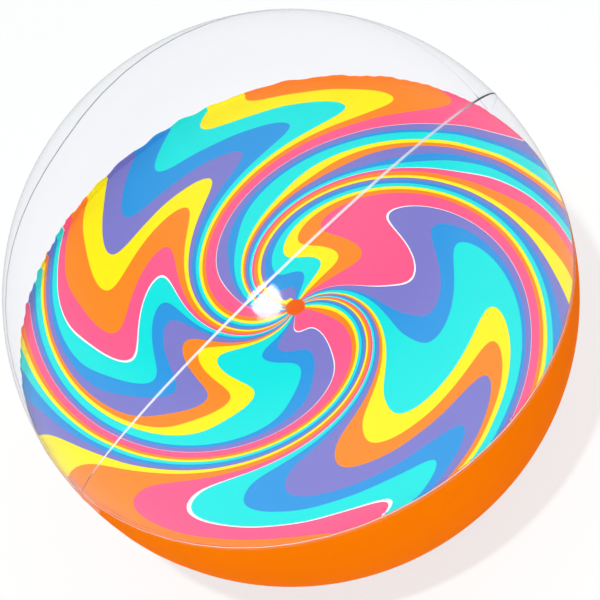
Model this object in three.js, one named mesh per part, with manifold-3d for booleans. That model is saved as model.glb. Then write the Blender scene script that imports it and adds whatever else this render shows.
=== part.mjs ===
// Inflated beach ball: clear film above, orange film below, and a printed film disc across the middle.
// Millimetres, +Z up. The ball stands at the origin on the patch that its weight flattens.
// Its poles lie on the X axis, and the disc's rim is level, in the plane through the ball's centre.

import * as THREE from 'three';
import { mergeVertices } from 'three/addons/utils/BufferGeometryUtils.js';
import Module from 'manifold-3d';

// Film ball
const BALL_RADIUS = 200;
const FILM = 0.3;
const REST_PATCH_RADIUS = 20;
const GORE_TIP_RADIUS = 12;
const POLE_PATCH_RADIUS = 18;
const POLE_PATCH_THICKNESS = 0.4;

// Seams, as angles about the X axis from the front rim of the disc, up over the clear side
const FRONT_RIM_SEAM = 0;
const CLEAR_SEAM_FRONT = 57;
const CLEAR_SEAM_BACK = 120.5;
const BACK_RIM_SEAM = 180;
const ORANGE_SEAM_BACK = 240;
const ORANGE_SEAM_FRONT = 300;
const FULL_TURN = 360;

// Lap weld: one gore's edge steps up and lies on the edge of its neighbour
const LAP_WIDTH = 4;
const LAP_STEP = 1.2;

// Printed disc, which hangs a little towards the orange side
const DISC_SAG = 11;
const AIR_HOLE_RADIUS = 7;
const RIM_TAB_HEIGHT = 4;

// Valve, in the middle of the back orange gore
const VALVE_HOLE_RADIUS = 9;
const FLANGE_RADIUS = 14;
const FLANGE_THICKNESS = 0.8;
const VALVE_LAND_MARGIN = 4;
const SKIRT_WALL = 0.6;
const STEM_RADIUS = 4.5;
const STEM_BORE_RADIUS = 3;
const STEM_LENGTH = 12;
const STEM_COLLAR_WIDTH = 0.9;
const STEM_COLLAR_HEIGHT = 1.6;
const STEM_FOOT_WIDTH = 0.5;
const STEM_FOOT_HEIGHT = 1.5;
const PLUG_RECESS = 0.4;
const PLUG_CAP_RADIUS = 5.6;
const PLUG_CAP_THICKNESS = 1.4;
const PLUG_CAP_EDGE = 0.4;
const PLUG_NOSE_LENGTH = 4;
const STRAP_STRAIGHT = 0.1;
const STRAP_WIDTH = 3;
const STRAP_THICKNESS = 0.5;
const FLAP_OVERLAP = 0.7;
const FLAP_THICKNESS = 0.5;
const FLAP_TAB_WIDTH = 3;

// Clearances
const SEAM_GAP = 0.3;
const SEAT_GAP = 0.3;
const NOSE_CLEARANCE = 0.3;

// Facets
const LATITUDE_STEP = 9;
const GORE_COLUMNS = 6;
const DISC_RINGS = 6;
const ROUND_SEGMENTS = 32;
const SMALL_SEGMENTS = 24;
const NOSE_RINGS = 4;
const BEND_STEPS = 6;

const wasm = await Module();
wasm.setup();

const radians = THREE.MathUtils.degToRad;
const ballCentre = new THREE.Vector3(0, 0, Math.sqrt(BALL_RADIUS ** 2 - REST_PATCH_RADIUS ** 2));
const lapLift = FILM + SEAM_GAP;
const innerRadius = BALL_RADIUS - FILM;
const valveLandRadius = FLANGE_RADIUS + VALVE_LAND_MARGIN;

const clearFilm = new THREE.MeshStandardMaterial({
  color: 0xe9eef6, roughness: 0.08, metalness: 0, transparent: true, opacity: 0.25,
});
const orangeFilm = new THREE.MeshStandardMaterial({ color: 0xff8205, roughness: 0.35, metalness: 0 });
const printedFilm = new THREE.MeshStandardMaterial({ color: 0x1fd8d2, roughness: 0.4, metalness: 0 });
const mouldedVinyl = new THREE.MeshStandardMaterial({ color: 0xf4f1ea, roughness: 0.4, metalness: 0 });

const ball = new THREE.Group();

function addPiece(name, geometry, material, parent = ball) {
  const mesh = new THREE.Mesh(geometry, material);
  mesh.name = name;
  parent.add(mesh);
}

// Solids for cutting and joining

function toSolid(geometry) {
  const bare = geometry.clone();
  bare.deleteAttribute('normal');
  bare.deleteAttribute('uv');
  const merged = mergeVertices(bare);
  return new wasm.Manifold(new wasm.Mesh({
    numProp: 3,
    vertProperties: new Float32Array(merged.attributes.position.array),
    triVerts: new Uint32Array(merged.index.array),
  }));
}

function toGeometry(solid) {
  const mesh = solid.getMesh();
  const geometry = new THREE.BufferGeometry();
  geometry.setAttribute('position', new THREE.BufferAttribute(new Float32Array(mesh.vertProperties), 3));
  geometry.setIndex(new THREE.BufferAttribute(new Uint32Array(mesh.triVerts), 1));
  geometry.computeVertexNormals();
  return geometry;
}

// Directions on the ball: latitude towards the +X pole, seam angle about the X axis

function direction(latitude, angle) {
  return new THREE.Vector3(
    Math.sin(latitude),
    -Math.cos(latitude) * Math.cos(angle),
    Math.cos(latitude) * Math.sin(angle),
  );
}

function goreMiddle(start, end) {
  return direction(0, radians((start + end) / 2));
}

// A flat on the ball is the circle that a plane cuts from it, square to the axis
function flatOnBall(axis, radius) {
  return { axis, radius, distance: Math.sqrt(BALL_RADIUS ** 2 - radius ** 2) };
}

const restPatch = flatOnBall(goreMiddle(ORANGE_SEAM_BACK, ORANGE_SEAM_FRONT), REST_PATCH_RADIUS);
const valveLand = flatOnBall(goreMiddle(BACK_RIM_SEAM, ORANGE_SEAM_BACK), valveLandRadius);

// A point at a height over the film's outer face, on the ball or on its flat
function filmPoint(latitude, angle, height, flat) {
  const toward = direction(latitude, angle);
  let reach = BALL_RADIUS;
  if (flat) {
    const lean = toward.dot(flat.axis);
    if (lean > 0) reach = Math.min(reach, flat.distance / lean);
  }
  return toward.multiplyScalar(reach + height).add(ballCentre);
}

// Latitudes shared by every gore and by the disc's rim, so that facets lie side by side.
// Rows at the flats' edges and corners come first, then even steps, then the tips.
function latitudeRows() {
  const flatRows = [restPatch.radius, valveLand.radius]
    .flatMap((radius) => [radius * Math.SQRT1_2, radius])
    .map((length) => Math.asin(length / BALL_RADIUS))
    .sort((a, b) => a - b);
  const leastStep = radians(LATITUDE_STEP / 6);
  const tip = Math.acos(GORE_TIP_RADIUS / BALL_RADIUS);
  const half = [];
  for (const row of flatRows) {
    if (row - (half.at(-1) ?? 0) > leastStep) half.push(row);
  }
  const steps = Math.ceil((tip - half.at(-1)) / radians(LATITUDE_STEP));
  const first = half.at(-1);
  for (let i = 1; i <= steps; i += 1) half.push(first + (tip - first) * i / steps);
  return [...half.map((row) => -row).reverse(), 0, ...half];
}

const rows = latitudeRows();

// Places across a gore, from -1 to 1 between its two weld bands
function acrossGore(halfWidth, flat) {
  const places = [];
  for (let i = 0; i <= GORE_COLUMNS; i += 1) places.push(2 * i / GORE_COLUMNS - 1);
  if (!flat) return places;
  const edge = Math.asin(flat.radius / BALL_RADIUS) * BALL_RADIUS / (halfWidth * BALL_RADIUS - LAP_WIDTH);
  const corner = edge * Math.SQRT1_2;
  const inner = [-edge, -corner, 0, corner, edge];
  const clearOfFlat = places.filter((place) => Math.abs(place) > edge + 1 / (2 * GORE_COLUMNS));
  return [...clearOfFlat, ...inner].sort((a, b) => a - b);
}

// A sheet between two grids of points, closed round its edges
function sheetGeometry(outer, inner) {
  const rowCount = outer.length;
  const columnCount = outer[0].length;
  const index = (layer, row, column) => (layer * rowCount + row) * columnCount + column;
  const triangles = [];
  const quad = (a, b, c, d) => triangles.push(a, b, c, a, c, d);
  for (let r = 0; r + 1 < rowCount; r += 1) {
    for (let c = 0; c + 1 < columnCount; c += 1) {
      const corners = [[r, c], [r + 1, c], [r + 1, c + 1], [r, c + 1]];
      // The fold goes along the diagonal that lies further out, which keeps the flats flat
      const span = (i, j) => outer[corners[i][0]][corners[i][1]].clone()
        .add(outer[corners[j][0]][corners[j][1]]).multiplyScalar(0.5).distanceTo(ballCentre);
      const turn = span(0, 2) >= span(1, 3) ? 0 : 1;
      const order = [0, 1, 2, 3].map((i) => corners[(i + turn) % 4]);
      quad(...order.map(([row, column]) => index(0, row, column)));
      const [p, q, s, t] = order.map(([row, column]) => index(1, row, column));
      triangles.push(p, s, q, p, t, s);
    }
  }
  for (let r = 0; r + 1 < rowCount; r += 1) {
    quad(index(0, r, 0), index(1, r, 0), index(1, r + 1, 0), index(0, r + 1, 0));
    const last = columnCount - 1;
    quad(index(0, r, last), index(0, r + 1, last), index(1, r + 1, last), index(1, r, last));
  }
  for (let c = 0; c + 1 < columnCount; c += 1) {
    const last = rowCount - 1;
    quad(index(0, 0, c), index(0, 0, c + 1), index(1, 0, c + 1), index(1, 0, c));
    quad(index(0, last, c), index(1, last, c), index(1, last, c + 1), index(0, last, c + 1));
  }
  const positions = [outer, inner].flat(2).flatMap((point) => point.toArray());
  const geometry = new THREE.BufferGeometry();
  geometry.setAttribute('position', new THREE.Float32BufferAttribute(positions, 3));
  geometry.setIndex(triangles);
  geometry.computeVertexNormals();
  return geometry;
}

// Columns along one edge of a gore, as [shift past the seam, height]. An edge either lies plain under
// its neighbour, or steps up and laps over it.
function edgeColumns(lapsOver) {
  if (!lapsOver) return [[0, 0]];
  return [[-SEAM_GAP - LAP_STEP, 0], [-SEAM_GAP, lapLift], [LAP_WIDTH, lapLift]];
}

// One gore between two seams. Its near edge is at the start angle and its far edge at the end angle.
function goreGeometry(start, end, { nearOver = false, farOver = false, flat = null } = {}) {
  const middle = radians((start + end) / 2);
  const halfWidth = radians((end - start) / 2);
  const places = acrossGore(halfWidth, flat);
  const layer = (depth) => rows.map((latitude) => {
    const ringRadius = BALL_RADIUS * Math.cos(latitude);
    const bodyHalf = halfWidth - LAP_WIDTH / ringRadius;
    const body = places.map((place) => filmPoint(latitude, middle + place * bodyHalf, -depth, flat));
    const edge = (side, lapsOver) => edgeColumns(lapsOver).map(([shift, height]) => filmPoint(
      latitude, middle + side * (halfWidth + shift / ringRadius), height - depth, flat,
    ));
    return [...edge(-1, nearOver).reverse(), ...body, ...edge(1, farOver)];
  });
  return sheetGeometry(layer(0), layer(FILM));
}

// Round turned pieces: the profile runs up the outside and down the inside, as [radius, height]
function turned(profile, segments) {
  const points = profile.map(([radius, height]) => new THREE.Vector2(radius, height));
  return new THREE.LatheGeometry(points, segments).rotateX(Math.PI / 2);
}

function ring(profile, segments) {
  return turned([...profile, profile[0]], segments);
}

// Gores. The clear half laps over the orange half along both rims of the disc.

const clearGores = [
  ['clear_gore_front', FRONT_RIM_SEAM, CLEAR_SEAM_FRONT, { nearOver: true, farOver: true }],
  ['clear_gore_top', CLEAR_SEAM_FRONT, CLEAR_SEAM_BACK, { farOver: true }],
  ['clear_gore_back', CLEAR_SEAM_BACK, BACK_RIM_SEAM, { farOver: true }],
];
const orangeGores = [
  ['orange_gore_bottom', ORANGE_SEAM_BACK, ORANGE_SEAM_FRONT, { farOver: true, flat: restPatch }],
  ['orange_gore_front', ORANGE_SEAM_FRONT, FULL_TURN, {}],
];
for (const [name, start, end, form] of clearGores) addPiece(name, goreGeometry(start, end, form), clearFilm);
for (const [name, start, end, form] of orangeGores) addPiece(name, goreGeometry(start, end, form), orangeFilm);

// The back orange gore has the valve's hole through its flat land
const landCentre = valveLand.axis.clone().multiplyScalar(valveLand.distance).add(ballCentre);
const outward = new THREE.Quaternion().setFromUnitVectors(new THREE.Vector3(0, 0, 1), valveLand.axis);
const holeDepth = 2 * (FILM + FLANGE_THICKNESS);
const valveHole = new THREE.CylinderGeometry(
  VALVE_HOLE_RADIUS, VALVE_HOLE_RADIUS, 2 * holeDepth, ROUND_SEGMENTS,
).rotateX(Math.PI / 2).applyQuaternion(outward).translate(...landCentre.toArray());
const plainBackGore = goreGeometry(BACK_RIM_SEAM, ORANGE_SEAM_BACK, { farOver: true, flat: valveLand });
addPiece('orange_gore_back', toGeometry(toSolid(plainBackGore).subtract(toSolid(valveHole))), orangeFilm);

// Printed disc: sagging sheet with an air hole, and a rim tab that stands inside the seams

// Directions round the rim, at the gores' own latitudes
function rimDirections() {
  const pole = Math.PI / 2;
  const front = [-pole, ...rows, pole].map((a) => [Math.sin(a), -Math.cos(a)]);
  const back = rows.map((a) => [-Math.sin(a), Math.cos(a)]);
  return [...front, ...back];
}

// The profile runs out along the underside, up the tab and back along the top
function discProfile() {
  const rimRadius = innerRadius - SEAM_GAP;
  const half = FILM / 2;
  const sheet = [];
  for (let i = 0; i <= DISC_RINGS; i += 1) {
    const radius = AIR_HOLE_RADIUS + (rimRadius - FILM - AIR_HOLE_RADIUS) * i / DISC_RINGS;
    sheet.push([radius, -DISC_SAG * (1 - (radius / rimRadius) ** 2)]);
  }
  return [
    ...sheet.map(([radius, height]) => [radius, height - half]),
    [rimRadius, -half],
    [rimRadius, RIM_TAB_HEIGHT - half],
    [rimRadius - FILM, RIM_TAB_HEIGHT - half],
    ...sheet.map(([radius, height]) => [radius, height + half]).reverse(),
  ];
}

function printedDiscGeometry() {
  const profile = discProfile();
  const turn = rimDirections();
  const index = (i, k) => (i % profile.length) * turn.length + (k % turn.length);
  const triangles = [];
  for (let i = 0; i < profile.length; i += 1) {
    for (let k = 0; k < turn.length; k += 1) {
      triangles.push(index(i, k), index(i, k + 1), index(i + 1, k + 1));
      triangles.push(index(i, k), index(i + 1, k + 1), index(i + 1, k));
    }
  }
  const positions = profile.flatMap(([radius, height]) => turn.flatMap(([x, y]) => [radius * x, radius * y, height]));
  const geometry = new THREE.BufferGeometry();
  geometry.setAttribute('position', new THREE.Float32BufferAttribute(positions, 3));
  geometry.setIndex(triangles);
  geometry.computeVertexNormals();
  return geometry;
}

const discGroup = new THREE.Group();
discGroup.position.copy(ballCentre);
ball.add(discGroup);
addPiece('printed_disc', printedDiscGeometry(), printedFilm, discGroup);

// Pole patches: round film caps over the gores' tips

function polePatchGeometry() {
  const under = BALL_RADIUS + lapLift + SEAM_GAP;
  const over = under + POLE_PATCH_THICKNESS;
  const widest = Math.asin(POLE_PATCH_RADIUS / BALL_RADIUS);
  const cap = (radius, share) => [radius * Math.sin(widest * share), radius * Math.cos(widest * share)];
  return turned([
    [0, under], cap(under, 0.5), cap(under, 1), cap(over, 1), cap(over, 0.5), [0, over],
  ], SMALL_SEGMENTS);
}

for (const [name, side] of [['pole_patch_left', -1], ['pole_patch_right', 1]]) {
  const patchGroup = new THREE.Group();
  patchGroup.position.copy(ballCentre);
  patchGroup.rotation.y = side * Math.PI / 2;
  ball.add(patchGroup);
  addPiece(name, polePatchGeometry(), clearFilm, patchGroup);
}

// Valve, pushed in. Heights are measured out along its axis from the film's outer face.

const valve = new THREE.Group();
valve.position.copy(landCentre);
valve.quaternion.copy(outward);
ball.add(valve);

const flangeTop = -FILM - SEAM_GAP;
const flangeFoot = flangeTop - FLANGE_THICKNESS;
const capTop = -PLUG_RECESS;
const capFoot = capTop - PLUG_CAP_THICKNESS;
const stemTop = capFoot - SEAT_GAP;
const stemFoot = stemTop - STEM_LENGTH;
const collarRadius = STEM_RADIUS + STEM_COLLAR_WIDTH;
const collarFoot = stemTop - STEM_COLLAR_HEIGHT;
const footRadius = STEM_RADIUS + STEM_FOOT_WIDTH;

addPiece('valve_flange', ring([
  [FLANGE_RADIUS, flangeFoot + FLANGE_THICKNESS / 2],
  [FLANGE_RADIUS, flangeTop],
  [VALVE_HOLE_RADIUS, flangeTop],
  [VALVE_HOLE_RADIUS, flangeFoot],
  [FLANGE_RADIUS - FLANGE_THICKNESS / 2, flangeFoot],
], ROUND_SEGMENTS), mouldedVinyl, valve);

// The skirt is a cup round the stem, from the flange's bore to the stem's foot
function skirtProfile() {
  const outerRadius = VALVE_HOLE_RADIUS - SEAT_GAP;
  const endRadius = footRadius + SEAT_GAP;
  const bendRadius = outerRadius - endRadius;
  const bendHeight = stemFoot + bendRadius;
  const bend = (radius) => {
    const points = [];
    for (let i = 0; i <= BEND_STEPS; i += 1) {
      const a = (Math.PI / 2) * i / BEND_STEPS;
      points.push([endRadius + radius * Math.sin(a), bendHeight - radius * Math.cos(a)]);
    }
    return points;
  };
  const wall = bendRadius - SKIRT_WALL;
  return [
    ...bend(bendRadius), [outerRadius, flangeTop],
    [outerRadius - SKIRT_WALL, flangeTop], ...bend(wall).reverse(),
  ];
}

addPiece('valve_skirt', ring(skirtProfile(), ROUND_SEGMENTS), mouldedVinyl, valve);

addPiece('valve_stem', ring([
  [footRadius, stemFoot],
  [footRadius, stemFoot + STEM_FOOT_HEIGHT / 2],
  [STEM_RADIUS, stemFoot + STEM_FOOT_HEIGHT],
  [STEM_RADIUS, collarFoot],
  [collarRadius, collarFoot],
  [collarRadius, stemTop],
  [STEM_BORE_RADIUS, stemTop],
  [STEM_BORE_RADIUS, stemFoot],
], SMALL_SEGMENTS), mouldedVinyl, valve);

// The strap leaves the cap's edge, bends outside the cap and the collar, and comes back to the collar.
// The plug swings about the outside of that bend.
const hingeHeight = capFoot + PLUG_CAP_THICKNESS / 2;
const collarMiddle = collarFoot + STEM_COLLAR_HEIGHT / 2;
const strapBend = (hingeHeight - collarMiddle) / 2;
const strapStraightEnd = Math.max(PLUG_CAP_RADIUS, collarRadius) + SEAT_GAP + STRAP_STRAIGHT;
const hingeRadius = strapStraightEnd + strapBend;

// The plug's nose keeps inside the arc that clears the bore's far edge

function plugProfile() {
  const noseRadius = STEM_BORE_RADIUS - NOSE_CLEARANCE;
  const swing = Math.hypot(hingeRadius + noseRadius, hingeHeight - stemTop);
  const nose = [];
  for (let i = NOSE_RINGS; i >= 0; i -= 1) {
    const depth = stemTop - capFoot - (PLUG_NOSE_LENGTH + stemTop - capFoot) * i / NOSE_RINGS;
    const drop = hingeHeight - capFoot - depth;
    nose.push([Math.sqrt(swing ** 2 - drop ** 2) - hingeRadius, capFoot + depth]);
  }
  return [
    [0, capFoot - PLUG_NOSE_LENGTH], ...nose,
    [noseRadius, capFoot],
    [PLUG_CAP_RADIUS - PLUG_CAP_EDGE, capFoot],
    [PLUG_CAP_RADIUS, capFoot + PLUG_CAP_EDGE],
    [PLUG_CAP_RADIUS, capTop - PLUG_CAP_EDGE],
    [PLUG_CAP_RADIUS - PLUG_CAP_EDGE, capTop],
    [0, capTop],
  ];
}

addPiece('valve_plug', turned(plugProfile(), SMALL_SEGMENTS), mouldedVinyl, valve);

// The strap lies on the +X side of the valve
function strapGeometry() {
  const bendCentre = hingeHeight - strapBend;
  const half = STRAP_THICKNESS / 2;
  const outline = new THREE.Shape();
  outline.moveTo(PLUG_CAP_RADIUS + SEAT_GAP, hingeHeight - half);
  outline.lineTo(strapStraightEnd, hingeHeight - half);
  outline.absarc(strapStraightEnd, bendCentre, strapBend - half, Math.PI / 2, -Math.PI / 2, true);
  outline.lineTo(collarRadius + SEAT_GAP, collarMiddle + half);
  outline.lineTo(collarRadius + SEAT_GAP, collarMiddle - half);
  outline.absarc(strapStraightEnd, bendCentre, strapBend + half, -Math.PI / 2, Math.PI / 2, false);
  outline.lineTo(PLUG_CAP_RADIUS + SEAT_GAP, hingeHeight + half);
  return new THREE.ExtrudeGeometry(outline, {
    depth: STRAP_WIDTH, bevelEnabled: false, curveSegments: BEND_STEPS,
  }).rotateX(Math.PI / 2).translate(0, STRAP_WIDTH / 2, 0);
}

addPiece('plug_strap', strapGeometry(), mouldedVinyl, valve);

// The check flap covers the bore's inner end and swings inwards about the outer end of its tab
function flapGeometry() {
  const flapRadius = STEM_BORE_RADIUS + FLAP_OVERLAP;
  const tabAngle = Math.asin(FLAP_TAB_WIDTH / 2 / flapRadius);
  const outline = new THREE.Shape();
  outline.absarc(0, 0, flapRadius, tabAngle, 2 * Math.PI - tabAngle);
  outline.lineTo(footRadius, -FLAP_TAB_WIDTH / 2);
  outline.lineTo(footRadius, FLAP_TAB_WIDTH / 2);
  return new THREE.ExtrudeGeometry(outline, {
    depth: FLAP_THICKNESS, bevelEnabled: false, curveSegments: SMALL_SEGMENTS,
  }).translate(0, 0, stemFoot - SEAT_GAP - FLAP_THICKNESS);
}

addPiece('check_flap', flapGeometry(), mouldedVinyl, valve);

export default ball;
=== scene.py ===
import bmesh
import bpy
import numpy as np
from mathutils import Matrix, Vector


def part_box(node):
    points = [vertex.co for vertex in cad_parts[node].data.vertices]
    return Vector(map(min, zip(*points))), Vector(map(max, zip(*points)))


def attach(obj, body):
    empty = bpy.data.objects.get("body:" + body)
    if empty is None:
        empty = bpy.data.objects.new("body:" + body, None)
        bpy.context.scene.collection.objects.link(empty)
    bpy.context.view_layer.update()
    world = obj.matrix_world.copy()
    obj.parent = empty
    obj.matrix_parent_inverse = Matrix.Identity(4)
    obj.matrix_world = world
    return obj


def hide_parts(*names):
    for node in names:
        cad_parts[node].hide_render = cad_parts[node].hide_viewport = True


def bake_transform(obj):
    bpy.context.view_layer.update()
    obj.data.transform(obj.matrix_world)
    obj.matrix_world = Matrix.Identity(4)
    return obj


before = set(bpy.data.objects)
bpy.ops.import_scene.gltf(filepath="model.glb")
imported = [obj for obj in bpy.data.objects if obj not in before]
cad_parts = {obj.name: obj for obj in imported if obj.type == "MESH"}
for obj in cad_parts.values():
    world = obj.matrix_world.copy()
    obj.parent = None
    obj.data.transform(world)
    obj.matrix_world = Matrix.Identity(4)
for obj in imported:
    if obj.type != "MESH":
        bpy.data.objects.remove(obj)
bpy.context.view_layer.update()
mm = 0.001
tiny = 1e-6
fullTurn = 2 * np.pi
print("frame: loaded", len(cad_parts), "nodes")


# Small tools

def hexLinear(code):  # sRGB hex value to linear colour
    srgb = np.array([int(code[i:i + 2], 16) for i in (1, 3, 5)]) / 255
    linear = np.where(srgb <= 0.04045, srgb / 12.92, ((srgb + 0.055) / 1.055) ** 2.4)
    return (*linear.tolist(), 1.0)


def newMaterial(name):
    material = bpy.data.materials.new(name)
    material.use_nodes = True
    material.node_tree.nodes.clear()
    return material, material.node_tree


def addNode(tree, kind, inputs=None, **settings):  # a node with its settings, its inputs set or linked
    node = tree.nodes.new(kind)
    for key, value in settings.items():
        setattr(node, key, value)
    for key, value in (inputs or {}).items():
        if isinstance(value, bpy.types.NodeSocket):
            tree.links.new(value, node.inputs[key])
        else:
            node.inputs[key].default_value = value
    return node


def smoothStep(x, low, high):  # 0 below low, 1 above high, with flat ends
    t = np.clip((x - low) / (high - low), 0, 1)
    return t * t * (3 - 2 * t)


def putMesh(name, points, quads, materials, faceMaterial=None, sharpAngle=40, merge=False):
    mesh = bpy.data.meshes.new(name)
    mesh.vertices.add(len(points))
    mesh.vertices.foreach_set("co", np.asarray(points, np.float32).ravel())
    mesh.loops.add(quads.size)
    mesh.loops.foreach_set("vertex_index", quads.astype(np.int32).ravel())
    mesh.polygons.add(len(quads))
    mesh.polygons.foreach_set("loop_start", np.arange(0, quads.size, 4, dtype=np.int32))
    for material in materials:
        mesh.materials.append(material)
    if faceMaterial is not None:
        mesh.polygons.foreach_set("material_index", faceMaterial.astype(np.int32))
    mesh.update(calc_edges=True)
    if merge:  # closes a turned piece on its axis
        work = bmesh.new()
        work.from_mesh(mesh)
        bmesh.ops.remove_doubles(work, verts=work.verts, dist=tiny)
        work.to_mesh(mesh)
        work.free()
    mesh.polygons.foreach_set("use_smooth", np.ones(len(mesh.polygons), bool))
    mesh.set_sharp_from_angle(angle=np.radians(sharpAngle))
    mesh.validate()
    piece = bpy.data.objects.new(name, mesh)
    bpy.context.scene.collection.objects.link(piece)
    return piece


# The ball's place and size, from the frame

film = dict(
    thickness=0.3 * mm,
    seamGap=0.3 * mm,
    landRadius=18 * mm,
    flatEdge=0.15 * mm,  # how softly a flat runs into the round
    leastLean=0.5, mostPush=30,  # limits that keep the soft flats finite
    valveAngle=np.radians(210),
    seams=np.radians([0, 57, 120.5, 180, 240, 300, 360]),  # about the X axis, from the disc's front rim up
    bentSeam=2, bend=np.radians(14.5), bendFrom=np.radians(12), bendTo=np.radians(58),  # latitudes towards -X
)
discLow, discHigh = (np.array(corner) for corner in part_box("printed_disc"))
discRim = (discHigh[0] - discLow[0]) / 2
ballRadius = discRim + film["thickness"] + film["seamGap"]
ballCentre = np.array([0, 0, sum(corner[2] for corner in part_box("pole_patch_right")) / 2])


def ballDirection(latitude, angle):
    # unit vector at a latitude towards the +X pole and an angle about the X axis
    latitude, angle = np.broadcast_arrays(latitude, angle)
    return np.stack([
        np.sin(latitude), -np.cos(latitude) * np.cos(angle), np.cos(latitude) * np.sin(angle),
    ], axis=-1)


valveAxis = ballDirection(0, film["valveAngle"])
flats = [  # axis and distance of the planes that flatten the film, under the ball and round the valve
    (np.array([0, 0, -1]), ballCentre[2]),
    (valveAxis, np.sqrt(ballRadius ** 2 - film["landRadius"] ** 2)),
]
valvePlace = ballCentre + valveAxis * flats[1][1]
valveSideX = np.array([1, 0, 0])
valveSideY = np.cross(valveAxis, valveSideX)


def filmReach(direction):
    # distance from the centre to the film: a soft least of the ball's radius and the flats
    edge = film["flatEdge"]
    total = np.ones(direction.shape[:-1])
    for axis, distance in flats:
        lean = np.maximum(direction @ axis, film["leastLean"])
        total = total + np.exp(np.minimum((ballRadius - distance / lean) / edge, film["mostPush"]))
    return ballRadius - edge * np.log(total)


def seamAngle(number, latitude):
    # one seam bends back towards the -X pole: its angle grows as a smooth step of latitude
    bend = film["bend"] * smoothStep(-latitude, film["bendFrom"], film["bendTo"])
    return film["seams"][number] + bend * (number == film["bentSeam"])


puckers = dict(
    height=0.06 * mm, reach=10 * mm, spacing=21 * mm, drift=53 * mm, poleReach=38 * mm,
    phase=1.9, sway=1.6,  # so that no two seams fold alike
)


def seamPucker(latitude, angle):
    # small folds square to the seams: a drifting cosine along each seam, fading to its sides as a bell curve
    along = latitude * ballRadius
    total = 0
    for number in range(len(film["seams"]) - 1):
        turn = (angle - seamAngle(number, latitude) + np.pi) % fullTurn - np.pi
        aside = turn * ballRadius * np.cos(latitude)
        wave = np.cos(fullTurn * along / puckers["spacing"] + puckers["phase"] * number
                      + puckers["sway"] * np.sin(along / puckers["drift"] + number))
        total = total + wave * np.exp(-(aside / puckers["reach"]) ** 2)
    poleFade = np.exp(-((np.pi / 2 - np.abs(latitude)) * ballRadius / puckers["poleReach"]) ** 2)
    return puckers["height"] * total * (1 - poleFade)


def filmPoint(latitude, angle, height):  # a point over the film's outer face
    direction = ballDirection(latitude, angle)
    reach = filmReach(direction) + seamPucker(latitude, angle) + height
    return ballCentre + direction * reach[..., None]


# Materials

clearFilmLook = dict(
    tint="#FEFEFF", roughness=0.095, ior=1.47, edgeShine=0.3, shinePower=5.0,
    haze="#8E959F", hazeShare=0.004, edgeHaze=0.085, hazePower=4.0,
    # rim is a dark colour painted in where the film is seen edge on: painted shade along the outline
    rim="#343A42", edgeShadeShare=0.32, edgeShadePower=24.0,
)


def clearFilmMaterial(name, shines, hazeAndEdgeShade):
    # soft PVC film, clear and calendered smooth: bright reflections on the outside, grey haze where it is seen
    # edge on, and a dark colour painted in at the very edge, a painted shade line along its outline
    look = clearFilmLook
    material, tree = newMaterial(name)
    slant = addNode(tree, "ShaderNodeLayerWeight", {"Blend": 0.5}).outputs["Facing"]
    surface = addNode(tree, "ShaderNodeBsdfTransparent", {"Color": hexLinear(look["tint"])}).outputs[0]
    if hazeAndEdgeShade:
        edge = addNode(tree, "ShaderNodeMath", {0: slant, 1: look["hazePower"]}, operation="POWER").outputs[0]
        hazy = addNode(tree, "ShaderNodeMath", {
            0: edge, 1: look["edgeHaze"], 2: look["hazeShare"],
        }, operation="MULTIPLY_ADD").outputs[0]
        haze = addNode(tree, "ShaderNodeBsdfDiffuse", {"Color": hexLinear(look["haze"])}).outputs[0]
        surface = addNode(tree, "ShaderNodeMixShader", {0: hazy, 1: surface, 2: haze}).outputs[0]
        # painted shade: a dark diffuse colour takes over as the film turns edge on and draws a dark line along
        # its outline
        edge = addNode(tree, "ShaderNodeMath", {0: slant, 1: look["edgeShadePower"]}, operation="POWER").outputs[0]
        dark = addNode(tree, "ShaderNodeMath", {0: edge, 1: look["edgeShadeShare"]}, operation="MULTIPLY").outputs[0]
        rim = addNode(tree, "ShaderNodeBsdfDiffuse", {"Color": hexLinear(look["rim"])}).outputs[0]
        surface = addNode(tree, "ShaderNodeMixShader", {0: dark, 1: surface, 2: rim}).outputs[0]
    if shines:  # seen from outside only
        headOn = ((look["ior"] - 1) / (look["ior"] + 1)) ** 2
        steep = addNode(tree, "ShaderNodeMath", {0: slant, 1: look["shinePower"]}, operation="POWER").outputs[0]
        mirrored = addNode(tree, "ShaderNodeMath", {
            0: steep, 1: look["edgeShine"], 2: headOn,
        }, operation="MULTIPLY_ADD").outputs[0]
        behind = addNode(tree, "ShaderNodeNewGeometry").outputs["Backfacing"]
        front = addNode(tree, "ShaderNodeMath", {0: 1.0, 1: behind}, operation="SUBTRACT").outputs[0]
        share = addNode(tree, "ShaderNodeMath", {0: mirrored, 1: front}, operation="MULTIPLY").outputs[0]
        shine = addNode(tree, "ShaderNodeBsdfGlossy", {
            "Color": (1, 1, 1, 1), "Roughness": look["roughness"],
        }).outputs[0]
        surface = addNode(tree, "ShaderNodeMixShader", {0: share, 1: surface, 2: shine}).outputs[0]
    addNode(tree, "ShaderNodeOutputMaterial", {"Surface": surface})
    return material


weldLook = dict(
    colour="#EEF1F4", through="#F2F4F7", cover=0.7, roughness=0.3, ior=1.53,
    # rim is a dark colour painted in where the weld is seen edge on: painted shade at the seams' ends and along
    # the outline
    rim="#3A4048", edgeShadeShare=0.9, edgeShadeFrom=0.46, edgeShadeTo=0.7,
)


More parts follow.
